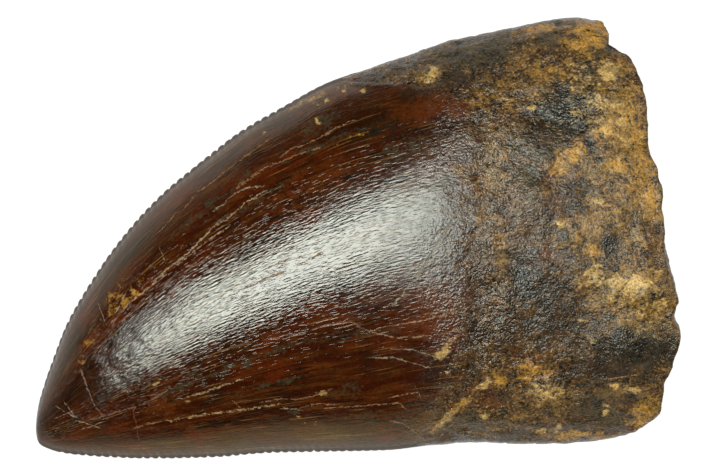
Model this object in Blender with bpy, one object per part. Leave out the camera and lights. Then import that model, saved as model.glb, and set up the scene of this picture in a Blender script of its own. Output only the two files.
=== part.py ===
"""A fossil tooth of a large meat-eating dinosaur, lying on its side on a small flat spot.

The crown is a blade with a saw edge along its front and back. Below the line where the
enamel ends it turns into a rounder stump of root, which is broken off across. The tooth
grew as one piece, so it is one closed solid: a sphere's grid of rings, whose first pole is
the tip of the crown and whose last pole is the middle of the broken end.

Seen from above, +X runs from the tip towards the root and +Y towards the front edge.
The outline is written in millimetres about the middle of the outline's box.
"""

from math import acos, atan2, cos, pi, radians, sin

import bmesh
import bpy
import numpy as np
from mathutils import Vector, noise

MM = 0.001

# Edges of the tooth from above, tip to broken end, in millimetres
FRONT_EDGE = [
    (-22.71, -13.60), (-22.36, -11.29), (-21.07, -7.50), (-20.00, -5.14), (-17.86, -1.71),
    (-15.71, 1.07), (-13.57, 3.29), (-11.43, 5.07), (-8.21, 7.57), (-5.00, 9.43),
    (-1.79, 11.14), (2.50, 12.57), (6.79, 14.07), (11.07, 15.00), (15.36, 15.71), (17.70, 15.50),
]
BACK_EDGE = [
    (-22.71, -13.60), (-22.50, -14.60), (-21.80, -15.05), (-20.50, -15.40), (-17.86, -15.65),
    (-14.30, -15.76), (-9.60, -15.65), (-6.40, -15.38), (-1.80, -15.27), (2.50, -15.15),
    (5.50, -14.80), (8.93, -14.58), (13.21, -14.73), (16.20, -14.60), (17.90, -14.40), (20.30, -13.80),
]
# Broken end from above, front to back, with a step at the front corner and two notches
BREAK_EDGE = [
    (17.95, 15.50), (18.00, 14.80), (18.15, 14.20), (18.75, 13.60), (19.60, 12.50),
    (20.25, 10.80), (20.55, 9.50), (20.65, 6.50), (21.50, 3.40), (21.70, -1.80), (22.20, -2.85),
    (22.65, -4.60), (22.10, -5.70), (22.90, -6.85), (22.40, -9.10), (21.80, -10.30),
    (21.80, -12.00), (21.60, -12.60), (20.30, -13.80),
]

# Half the thickness at shares of the way from tip to break
HALF_THICKNESS = [
    (0.0, 0.0), (0.006, 0.36), (0.012, 0.62), (0.025, 1.02), (0.05, 1.55), (0.1, 2.35),
    (0.2, 3.5), (0.35, 4.85), (0.5, 5.9), (0.65, 6.3), (0.8, 6.35), (1.0, 6.15),
]
# Pinch of the cross-section there: 0.5 is an ellipse, 1 a lens with straight flanks
PINCH = [(0.0, 0.5), (0.08, 0.62), (0.5, 0.66), (0.7, 0.58), (0.8, 0.52), (1.0, 0.5)]
RIDGE = 0.47             # thickest line, as a share of the way from front to back edge

# Saw edges: spacing and depth of the denticles, and where they fade out
DENTICLE_PITCH = 0.62
DENTICLE_DEPTH = 0.2
FRONT_DENTICLES = (0.03, 0.06, 0.5, 0.64)
BACK_DENTICLES = (0.05, 0.07, 0.44, 0.64)

# End of the enamel from above, front to back, and the step down to the root
ENAMEL_END = [
    (-3.0, 16.0), (0.0, 11.2), (5.0, 10.6), (7.6, 9.6), (8.2, 7.0), (8.2, 4.1), (7.9, 0.6),
    (7.9, -3.7), (7.6, -6.6), (6.8, -9.4), (5.9, -11.6), (5.4, -14.4), (5.0, -16.0),
]
ENAMEL_STEP = 0.1
STEP_WIDTH = 1.0

# Lumps (+) and hollows (-) of the root's upper side: x, y, radius, height
ROOT_LUMPS = [
    (16.6, 14.6, 1.8, 0.30), (19.0, 10.5, 2.6, 0.28), (14.6, 9.0, 2.4, -0.25),
    (12.5, 2.5, 2.0, 0.15), (18.3, 3.0, 2.6, -0.18), (20.4, -3.8, 2.0, 0.45),
    (19.2, -7.6, 2.6, 0.40), (15.5, -5.0, 2.2, -0.22), (13.8, -10.9, 1.7, 0.20),
    (18.6, -12.2, 2.2, -0.20), (9.8, -9.3, 1.5, 0.22), (10.8, -2.5, 2.4, -0.12),
]
LUMP_STEEPNESS = 1.5     # 1 is a dome, more a peak with a wide foot
ROUGHNESS = 0.16         # unevenness of the root and of the break
COARSE_GRAIN = 0.35      # lumps of the unevenness to the millimetre
FINE_GRAIN = 0.9
FINE_SHARE = 0.7
UNDER_SEED = 40          # another part of the noise for the lower side
EDGE_RIM = 1.5           # half the thickness within which lumps fade out towards the edges
REST_HEIGHT = 5.85       # middle plane of the tooth above the flat spot it lies on

# Broken end
STUMP_SHARE = 0.72       # from here on the rings bend towards the shape of the break
STUMP_STEEPNESS = 1.5
ROLLED_SHARE = 0.93      # from here on the surface rolls off into the break
ROLL_OFF = 0.05          # share of the thickness that is lost at the rim
FRONT_ROLL_OFF = 0.15    # more of it is lost at the front corner
FRONT_CORNER = (3.0, 9.0)   # from the first of these to the second across
HOLLOW_DEPTH = 1.7       # pulp hollow, filled almost to the break with hard sand
HOLLOW_RIM = (0.25, 0.8)    # shares of the way in between which the hollow gets its depth
UNDER_CHIPS = 0.9        # how far chips take the break's lower rim back
CHIP_GRAIN = 0.45        # chips to the millimetre
CHIP_SEED = (3.1, 7.7)
CHIP_LEVEL = 0.35
BREAK_ROUGHNESS = 0.5
BREAK_GRAIN = 0.55
BREAK_SEED = 2.0

# Rings of the mesh
AROUND = 32
CROWN_SHARE = 0.65       # denticles, two rings each, end here
CAP_RINGS = 6
BREAK_MARK = 2           # stands in for the share of the length on the broken face

SAMPLES_PER_SPAN = 30    # on the smooth curves


def smooth_curve(points):
    """Close samples of a smooth curve through the points (Catmull-Rom)."""
    known = np.array([points[0]] + points + [points[-1]], float)
    t = np.linspace(0, 1, SAMPLES_PER_SPAN, endpoint=False)[:, None]
    spans = []
    for a, b, c, d in zip(known, known[1:], known[2:], known[3:]):
        square = 2 * a - 5 * b + 4 * c - d
        cube = 3 * b - a - 3 * c + d
        spans.append(b + 0.5 * ((c - a) * t + square * t**2 + cube * t**3))
    return np.vstack(spans + [known[-1:]])


def reader(points):
    """A function that reads the smooth curve's second number at its first."""
    samples = smooth_curve(points)
    return lambda value: np.interp(value, samples[:, 0], samples[:, 1])


def line_across(points):
    """A function that reads a line's x at its y. The line runs from front to back."""
    return lambda y: np.interp(-y, [-point[1] for point in points], [point[0] for point in points])


half_thickness_at = reader(HALF_THICKNESS)
pinch_at = reader(PINCH)
break_x_at = line_across(BREAK_EDGE)
enamel_x_at = line_across(ENAMEL_END)


class Edge:
    """An edge of the tooth, read by the share of its length from the tip."""

    def __init__(self, points):
        self.samples = smooth_curve(points)
        steps = np.linalg.norm(np.diff(self.samples, axis=0), axis=1)
        self.length = steps.sum()
        self.shares = np.concatenate([[0], np.cumsum(steps)]) / self.length

    def at(self, share):
        x = np.interp(share, self.shares, self.samples[:, 0])
        y = np.interp(share, self.shares, self.samples[:, 1])
        return Vector((x, y, 0))


def ease(value, start, end):
    """0 before start, 1 after end, and a smooth way between."""
    t = min(max((value - start) / (end - start), 0), 1)
    return t * t * (3 - 2 * t)


def faded(share, limits):
    """1 on the stretch of an edge that has denticles, 0 off it."""
    start, full, wearing, gone = limits
    return ease(share, start, full) * (1 - ease(share, wearing, gone))


def ring_shares(denticles):
    """Places of the rings from tip to break: two a denticle on the crown, one on the root."""
    crown = int(denticles * CROWN_SHARE)
    half_steps = [k / 2 / denticles for k in range(1, 2 * crown)]
    root_steps = [k / denticles for k in range(crown, denticles + 1)]
    return half_steps + root_steps


def across(turn):
    """Share of the way from front to back edge at an angle round the ring."""
    plain = (1 - cos(turn)) / 2
    bend = (RIDGE - 0.5) * 4 * plain * (1 - plain)
    return plain + bend


def broken_x(y, up):
    """Where the root breaks off. Below the middle, chips take the break back unevenly."""
    chip = UNDER_CHIPS * abs(noise.noise(Vector((y * CHIP_GRAIN, *CHIP_SEED))) + CHIP_LEVEL)
    return break_x_at(y) - chip * ease(-up, 0, 0.5)


def roll_off(share, y):
    """Share of the thickness that is left where the surface rolls off into the break."""
    lost = ROLL_OFF + FRONT_ROLL_OFF * ease(y, *FRONT_CORNER)
    return 1 - lost * ease(share, ROLLED_SHARE, 1) ** 2


def section_point(front, back, share, turn, notch=0):
    """A point of the ring at a share of the length, before lumps and steps are added."""
    u = across(turn)
    up = sin(turn)
    start, end = front.at(share), back.at(share)
    inward = (end - start).normalized() * (1 if u < 0.5 else -1)
    place = start.lerp(end, u) + inward * notch
    flank = abs(up) ** (2 * pinch_at(share))
    place.z = half_thickness_at(share) * roll_off(share, place.y) * flank * (1 if up > 0 else -1)
    stump = max(share - STUMP_SHARE, 0) / (1 - STUMP_SHARE)
    straight_x = line_across([front.at(1), back.at(1)])(place.y)
    place.x += (broken_x(place.y, up) - straight_x) * stump**STUMP_STEEPNESS
    return place


def notch_depth(row, share, turn):
    """How far the edge is cut back between two denticles."""
    limits = FRONT_DENTICLES if turn < pi / 2 or turn > 1.5 * pi else BACK_DENTICLES
    on_edge = abs(sin(turn)) < 0.01
    return DENTICLE_DEPTH * faded(share, limits) * (row % 2) * on_edge


def grid_place(vert, rings):
    """Ring and step round the ring of a vertex of the plain sphere."""
    ring = round(acos(max(-1, min(1, vert.co.z / vert.co.length))) / pi * rings)
    step = round(-atan2(vert.co.y, vert.co.x) / (2 * pi) * AROUND) % AROUND
    return ring, step


def cap_point(rim, middle, turn, ring):
    """A point of the broken face: a hollow filled with sand, inside an uneven rim."""
    inward = ring / CAP_RINGS
    place = rim.lerp(middle, inward)
    rough = noise.noise(Vector((place.y * BREAK_GRAIN, place.z * BREAK_GRAIN, BREAK_SEED)))
    place.x = broken_x(place.y, sin(turn) * (1 - inward))
    place.x -= HOLLOW_DEPTH * ease(inward, *HOLLOW_RIM) + BREAK_ROUGHNESS * rough
    return place


def place_rings(bm, front, back):
    """Turns the sphere's grid into the tooth's rings. Returns each vertex's share of the length."""
    denticles = round(front.length / DENTICLE_PITCH)
    shares = ring_shares(denticles)
    rings = len(shares) + CAP_RINGS
    rim = {}
    for step in range(AROUND):
        rim[step] = section_point(front, back, 1, 2 * pi * step / AROUND)
    middle = sum(rim.values(), Vector()) / AROUND
    share_of = {}
    for vert in bm.verts:
        ring, step = grid_place(vert, rings)
        turn = 2 * pi * step / AROUND
        if ring == 0:
            vert.co = front.at(0)
            share_of[vert] = 0
        elif ring <= len(shares):
            share = shares[ring - 1]
            vert.co = section_point(front, back, share, turn, notch_depth(ring, share, turn))
            share_of[vert] = share
        else:
            vert.co = cap_point(rim[step], middle, turn, ring - len(shares))
            share_of[vert] = BREAK_MARK
    return share_of


def relief(place, share):
    """Height of the surface over the plain form: enamel step, lumps and roughness of the root."""
    if share == BREAK_MARK:
        return 0
    on_root = ease(place.x - enamel_x_at(place.y), -STEP_WIDTH / 2, STEP_WIDTH / 2)
    height = -ENAMEL_STEP * on_root
    if place.z > 0:
        for x, y, radius, lump in ROOT_LUMPS:
            far = ((place.x - x) ** 2 + (place.y - y) ** 2) / radius**2
            height += lump * max(0, 1 - far) ** LUMP_STEEPNESS
    seed = Vector((0, 0, 0 if place.z > 0 else UNDER_SEED))
    coarse = noise.noise(place * COARSE_GRAIN + seed)
    fine = noise.noise(place * FINE_GRAIN + seed)
    height += on_root * ROUGHNESS * (coarse + FINE_SHARE * fine)
    return height * ease(abs(place.z), 0, EDGE_RIM)


def add_relief(bm, share_of):
    """Moves each vertex along its normal by the relief there, off the saw edges."""
    bm.normal_update()
    moves = {vert: vert.normal * relief(vert.co, share_of[vert]) for vert in bm.verts}
    for vert, move in moves.items():
        vert.co += move


def rest_on_flat_spot(bm):
    """Presses the lowest part of the belly flat, and stands it at zero under the box's middle."""
    low = Vector(min(vert.co[axis] for vert in bm.verts) for axis in range(3))
    high = Vector(max(vert.co[axis] for vert in bm.verts) for axis in range(3))
    for vert in bm.verts:
        vert.co.x -= (low.x + high.x) / 2
        vert.co.y -= (low.y + high.y) / 2
        vert.co.z = max(vert.co.z + REST_HEIGHT, 0)


def tooth_material():
    material = bpy.data.materials.new("tooth")
    material.use_nodes = True
    shader = material.node_tree.nodes["Principled BSDF"]
    shader.inputs["Base Color"].default_value = (0.085, 0.03, 0.014, 1)
    shader.inputs["Roughness"].default_value = 0.3
    shader.inputs["Metallic"].default_value = 0.0
    return material


def build_tooth(collection):
    front, back = Edge(FRONT_EDGE), Edge(BACK_EDGE)
    rings = len(ring_shares(round(front.length / DENTICLE_PITCH))) + CAP_RINGS
    bm = bmesh.new()
    bmesh.ops.create_uvsphere(bm, u_segments=AROUND, v_segments=rings, radius=1)
    share_of = place_rings(bm, front, back)
    add_relief(bm, share_of)
    rest_on_flat_spot(bm)
    bmesh.ops.scale(bm, vec=(MM, MM, MM), verts=bm.verts)
    mesh = bpy.data.meshes.new("tooth")
    bm.to_mesh(mesh)
    bm.free()
    mesh.shade_smooth()
    mesh.set_sharp_from_angle(angle=radians(40))
    tooth = bpy.data.objects.new("tooth", mesh)
    tooth.data.materials.append(tooth_material())
    collection.objects.link(tooth)


def main():
    for thing in list(bpy.data.objects):
        bpy.data.objects.remove(thing)
    collection = bpy.data.collections.new("carcharodontosaurus_tooth")
    bpy.context.scene.collection.children.link(collection)
    build_tooth(collection)


main()
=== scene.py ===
"""Looks of a fossil dinosaur tooth that lies on its side: glossy enamel, stained root, broken end.

One dense mesh stands for the tooth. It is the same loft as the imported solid, with finer
denticles, the enamel's ledge, lumps and pits. Stains and cracks are placed by pixels of the
photograph, as seen from above, and the side below has its own. Their fine grain comes from
noise in the material.
"""

import math
import random

import bpy
import numpy as np
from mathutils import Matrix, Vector, noise


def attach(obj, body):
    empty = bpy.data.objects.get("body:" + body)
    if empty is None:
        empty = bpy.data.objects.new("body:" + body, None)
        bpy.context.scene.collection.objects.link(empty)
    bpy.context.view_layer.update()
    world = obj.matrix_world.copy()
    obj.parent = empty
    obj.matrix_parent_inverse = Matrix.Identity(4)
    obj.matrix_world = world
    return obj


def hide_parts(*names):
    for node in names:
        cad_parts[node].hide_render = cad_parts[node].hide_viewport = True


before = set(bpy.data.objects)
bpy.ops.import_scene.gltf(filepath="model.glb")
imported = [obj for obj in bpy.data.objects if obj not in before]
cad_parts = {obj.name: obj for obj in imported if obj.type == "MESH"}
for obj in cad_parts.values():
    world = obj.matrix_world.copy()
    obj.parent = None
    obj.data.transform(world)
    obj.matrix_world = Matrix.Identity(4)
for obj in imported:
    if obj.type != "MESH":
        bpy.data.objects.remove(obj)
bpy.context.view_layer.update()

MM = 0.001

# The photograph's frame, and how its pixels lie on the tooth
PHOTO_WIDTH = 708
PHOTO_HEIGHT = 472
PIXELS_PER_MM = 14.0
OUTLINE_MIDDLE = (355.0, 238.0)
LENS = 160.0
SENSOR = 36.0
CLIP_START = 0.01        # metres

# Edges of the tooth from above, tip to broken end, in millimetres
FRONT_EDGE = [
    (-22.71, -13.6), (-22.36, -11.29), (-21.07, -7.5), (-20.0, -5.14), (-17.86, -1.71),
    (-15.71, 1.07), (-13.57, 3.29), (-11.43, 5.07), (-8.21, 7.57), (-5.0, 9.43),
    (-1.79, 11.14), (2.5, 12.57), (6.79, 14.07), (11.07, 15.0), (15.36, 15.71), (17.7, 15.5),
]
BACK_EDGE = [
    (-22.71, -13.6), (-22.5, -14.6), (-21.8, -15.05), (-20.5, -15.4), (-17.86, -15.65),
    (-14.3, -15.76), (-9.6, -15.65), (-6.4, -15.38), (-1.8, -15.27), (2.5, -15.15),
    (5.5, -14.8), (8.93, -14.58), (13.21, -14.73), (16.2, -14.6), (17.9, -14.4), (20.3, -13.8),
]
BREAK_EDGE = [
    (17.55, 15.5), (17.95, 15.1), (18.1, 14.6), (17.86, 13.85), (18.4, 13.6), (19.1, 13.05),
    (19.6, 12.5), (20.25, 10.8), (20.55, 9.5), (20.65, 6.5), (21.5, 3.4), (21.7, -1.8),
    (22.2, -2.85), (22.65, -4.6), (22.1, -5.7), (22.9, -6.85), (22.4, -9.1), (21.8, -10.3),
    (21.8, -12.0), (21.6, -12.6), (20.3, -13.8),
]
HALF_THICKNESS = [       # shares of the length, and the height of a flank there
    (0.0, 0.0), (0.006, 0.36), (0.012, 0.62), (0.025, 1.02), (0.05, 1.55), (0.1, 2.35),
    (0.2, 3.5), (0.35, 4.85), (0.5, 5.9), (0.65, 6.3), (0.8, 6.35), (1.0, 6.15),
]
PINCH = [                # shares of the length, and how sharply the two flanks meet at the edges
    (0.0, 0.5), (0.08, 0.62), (0.5, 0.66), (0.7, 0.58), (0.8, 0.52), (1.0, 0.5),
]
RIDGE = 0.47             # the ridge's share of the way from the front edge to the back edge
ENAMEL_END = [           # line from front to back where the enamel stops
    (-3.0, 16.0), (0.0, 11.2), (5.0, 10.6), (7.6, 9.6), (8.2, 7.0), (8.2, 4.1), (7.9, 0.6),
    (7.9, -3.7), (7.6, -6.6), (6.8, -9.4), (5.9, -11.6), (5.4, -14.4), (5.0, -16.0),
]
ENAMEL_STEP = 0.1        # how far the root lies below the enamel
ENAMEL_FADE = (-1.0, 0.8)        # past the enamel's end, where that step starts and is whole
REST_HEIGHT = 5.85       # of the middle plane over the floor

# Saw edges
FRONT_COUNT = 86         # denticles that would fit along the front edge from tip to break
BACK_COUNT = 76
DENTICLE_DEPTH = 0.16
DENTICLE_REACH = 0.42    # how far in from the edge the slits run out
DENTICLES_ALIKE = 2.5    # denticles in a row that are worn about alike
SLIT_SHARPNESS = 2.5     # how narrow the slits between denticles are
MEAN_DEPTH = 0.8         # of the slits, as a share of DENTICLE_DEPTH
DEPTH_VARIES = 0.7
LEAST_DEPTH = 0.2

# Shares of an edge where denticles start, are whole, start to wear out, and are gone
FRONT_DENTICLES = (0.03, 0.06, 0.5, 0.66)
BACK_DENTICLES = (0.05, 0.07, 0.44, 0.66)

# Broken end
STUMP_SHARE = 0.72       # where the rings start to lean towards the line of the break
STUMP_POWER = 1.5        # how late they do so
ROLLED_SHARE = 0.93      # where the root starts to thin towards its rim
ROLL_OFF = 0.05          # share of the height that is lost there
FRONT_ROLL_OFF = 0.15    # more of it that is lost near the front edge
FRONT_ROLL = (3.0, 9.0)  # y where that starts and is whole
HOLLOW_DEPTH = 1.7
HOLLOW_WALL = (0.25, 0.8)        # of the way from the rim to the middle
UNDER_CHIPS = 0.9        # depth of the chips below the middle plane
CHIPS_PER_MM = 0.45
CHIP_SEED = (3.1, 7.7)
CHIP_SHARE = 0.35        # of that depth, lost where there is no chip
FACE_RISE = 3.0          # how far the broken face may stand above its rim, from rim to middle

# Lumps (+) and hollows (-) of the root's upper side: x, y, radius, height, in millimetres
ROOT_LUMPS = [
    (16.6, 14.6, 1.8, 0.30), (19.0, 10.5, 2.6, 0.28), (14.6, 9.0, 2.4, -0.25),
    (12.5, 2.5, 2.0, 0.15), (18.3, 3.0, 2.6, -0.18), (20.4, -3.8, 2.0, 0.45),
    (19.2, -7.6, 2.6, 0.40), (15.5, -5.0, 2.2, -0.22), (13.8, -10.9, 1.7, 0.20),
    (18.6, -12.2, 2.2, -0.20), (9.8, -9.3, 1.5, 0.22), (10.8, -2.5, 2.4, -0.12),
]
LUMP_BELOW = -0.5        # of a lump above, as the other side has it
EDGE_RIM = 1.5           # height over the middle plane where the relief is whole
PIT_DEPTH = 0.08
CRUMBLED_SHARE = 0.93    # where the rim starts to crumble

# Layers of relief: height and size of a lump in millimetres, seed, and octaves of the noise
RELIEFS = {
    "ledge line": (0.8, 1.8, 5.0, 3),
    "material line": (0.5, 0.6, 31.0, 1),
    "root lumps": (0.16, 2.86, 0.0, 1),
    "root knobs": (0.112, 1.11, 0.0, 1),
    "enamel ripples": (0.014, 1.3, 12.0, 2),
    "root waves": (0.07, 1.5, 21.0, 1),
    "root grit": (0.05, 0.6, 3.0, 2),
    "pits": (1.0, 0.7, 9.0, 1),
    "rim crumbs": (0.13, 1.1, 17.0, 2),
    "rim grit": (0.052, 0.5, 27.0, 1),
    "break lumps": (-0.5, 1.8, 2.0, 1),
    "break grit": (0.22, 0.5, 6.0, 3),
}
UNDER_SHIFT = 40.0       # between the noises of the two sides, so that they differ

# Rings of the mesh
ROWS_PER_DENTICLE = 4
COLUMNS = 264            # round a ring
CAP_RINGS = 20
SAMPLES_PER_SPAN = 30

# Stains of the upper side, in pixels of the photograph: x, y, half length, half width, strength
# in tenths, and how many degrees the length is turned, if it is. A few are partly painted sheen,
# and one is a painted shadow, as marked below.
STAINS = {
    "ochre": [
        (591, 31, 17, 14, 10), (581, 43, 9, 12, 9), (635, 130, 34, 7, 9, -80), (648, 192, 24, 9, 9, -70),
        (600, 90, 7, 6, 8), (604, 132, 9, 7, 10), (430, 76, 15, 7, 4, 15), (116, 292, 15, 4, 4.2, 50),
        (127, 298, 30, 6, 4, 50), (90, 347, 20, 5, 3.5, 60), (322, 95, 30, 3, 5, 24),
        (357, 138, 20, 2, 5, 25), (571, 158, 17, 9, 8, 40), (594, 253, 10, 8, 8), (623, 294, 7, 6, 9),
        (502, 379, 7, 7, 10), (462, 404, 12, 4, 8, 42), (535, 372, 17, 8, 7), (644, 415, 15, 14, 8),
        (585, 437, 44, 5, 7), (545, 78, 26, 30, 3.5), (625, 165, 16, 7, 8), (542, 29, 26, 6, 7, 10),
    ],
    "bone": [
        (606, 105, 55, 32, 4, -70), (609, 70, 11, 10, 9), (604, 131, 8, 5, 9), (635, 285, 15, 13, 9),
        (646, 303, 26, 30, 4.5), (615, 287, 5, 13, 9), (557, 223, 4, 2, 8), (561, 229, 3, 2, 8),
        (582, 320, 4, 3, 7), (594, 342, 4, 3, 7), (568, 355, 4, 2, 7), (547, 391, 17, 8, 6),
        (606, 405, 4, 3, 9), (603, 413, 4, 3, 9), (615, 388, 4, 3, 9), (634, 388, 7, 3, 9),
        (559, 428, 3, 3, 9), (545, 434, 3, 3, 9), (486, 416, 4, 3, 8), (595, 272, 12, 4, 9, 15),
        (598, 281, 13, 8, 6), (446, 348, 10, 4, 8, 45), (158, 386, 4, 2, 6, 40), (326, 392, 6, 2, 7, 10),
        (187, 399, 3, 1, 7), (485, 384, 10, 3, 9, 42), (446, 420, 15, 3, 9, 42), (531, 108, 4, 3, 8),
        (597, 200, 7, 9, 6), (640, 240, 9, 12, 5.5), (344, 90, 2, 2, 9), (328, 99, 2, 2, 9),
        (319, 121, 2, 2, 9), (367, 90, 2, 2, 9), (265, 132, 2, 2, 9), (317, 103, 2, 2, 8),
        (299, 416, 2, 1, 8), (306, 423, 1, 1, 8), (318, 424, 1, 1, 8), (449, 369, 3, 3, 6),
        (431, 75, 9, 4, 9, 15),
    ],
    "rust": [
        (162, 407, 14, 8, 8), (202, 435, 14, 9, 8), (432, 110, 38, 14, 8, 10), (432, 314, 34, 26, 7),
        (550, 175, 12, 11, 6), (322, 97, 40, 12, 6, 20), (470, 402, 9, 6, 7, 20), (560, 97, 16, 12, 6),
        (300, 190, 60, 18, 5, 30), (545, 255, 24, 12, 5), (490, 395, 20, 12, 6),
    ],
    "soot": [
        (380, 132, 22, 11, 6, 25), (566, 109, 36, 26, 9, 20), (573, 131, 12, 8, 10), (612, 48, 5, 4, 10),
        (592, 147, 5, 8, 10), (568, 210, 6, 4, 9), (588, 208, 6, 4, 9), (567, 236, 6, 4, 9),
        (610, 245, 8, 11, 9), (537, 251, 6, 4, 9), (522, 271, 7, 5, 9), (638, 345, 40, 19, 9.5),
        (655, 295, 10, 6, 9), (530, 283, 36, 20, 6, -40), (547, 318, 22, 22, 5.5), (553, 385, 4, 3, 9),
        (630, 395, 5, 3, 9), (610, 318, 4, 3, 10), (592, 86, 3, 3, 10), (602, 160, 4, 3, 10),
        (560, 22, 4, 3, 9), (572, 34, 4, 3, 9), (575, 320, 30, 30, 4.5),
    ],
    "ash": [
        (477, 55, 50, 15, 8, 15), (542, 40, 24, 6, 8, 10), (593, 52, 11, 7, 9), (322, 122, 26, 11, 5, 30),
        (532, 178, 14, 19, 8), (540, 152, 21, 12, 8), (617, 420, 19, 10, 9), (602, 408, 38, 20, 7),
        # Painted shadow: the ash stain at (607, 72) is a small shadow, not ash
        (350, 390, 15, 7, 5, 10), (366, 419, 23, 6, 5), (292, 409, 9, 3, 6), (607, 72, 5, 8, 9),
        (398, 150, 29, 12, 6, 25), (470, 420, 22, 12, 6), (590, 75, 10, 14, 6, 60),
        (220, 372, 40, 3, 7, 25), (300, 345, 50, 3, 6, 18), (380, 332, 40, 3, 6, 10),
        (270, 385, 50, 3, 6, 15), (180, 385, 25, 3, 6, 35), (248, 362, 7, 5, 8, 60),
        (225, 196, 60, 3, 6, 38), (330, 142, 50, 3, 6, 22), (250, 205, 50, 3, 6, 34),
    ],
    "umber": [
        (605, 370, 40, 16, 9), (550, 300, 40, 30, 6), (500, 330, 30, 40, 6), (520, 100, 25, 20, 5),
        (580, 180, 40, 20, 4), (500, 440, 50, 10, 5), (440, 92, 50, 18, 8, 10), (360, 84, 60, 8, 7, 22),
        (475, 340, 14, 50, 7),
    ],
    "gold": [
        (626, 130, 60, 24, 9, -80), (645, 190, 40, 16, 9, -75), (625, 215, 30, 34, 6),
        (600, 170, 20, 16, 7), (545, 75, 34, 24, 4.5), (500, 95, 30, 16, 6), (640, 300, 34, 36, 8),
        (600, 300, 24, 14, 6), (560, 165, 22, 12, 6, 30), (650, 410, 16, 18, 8), (530, 425, 50, 14, 3),
        # Partly painted sheen: the gold stain at (580, 240) lightens the root where the highlight spreads
        # onto it
        (590, 35, 24, 18, 9), (560, 400, 30, 16, 5), (620, 395, 30, 14, 5), (580, 240, 30, 20, 5),
    ],
    # Partly painted sheen: the sand stains from x 485 to 520 lighten the root where the highlight spreads
    # onto it; the rest are sand
    "sand": [
        (495, 165, 12, 34, 7), (500, 250, 14, 60, 5), (598, 278, 20, 12, 8), (594, 230, 10, 14, 7),
        (520, 200, 22, 22, 3.5), (503, 180, 8, 8, 9), (545, 395, 22, 10, 6), (618, 388, 18, 6, 5),
        (485, 210, 10, 50, 5), (640, 290, 22, 22, 5), (606, 105, 55, 24, 4, -70),
    ],
    "plum": [
        (515, 230, 50, 60, 8), (480, 300, 14, 50, 7), (545, 330, 40, 24, 7), (560, 260, 30, 30, 6),
        (480, 130, 16, 30, 6),
    ],
}

# Colours that fill cracks, on a scale from dark dirt to white chalk
DIRT, RUSTY, GOLD, CREAM, CHALK = 0.0, 0.25, 0.5, 0.75, 1.0

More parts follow.
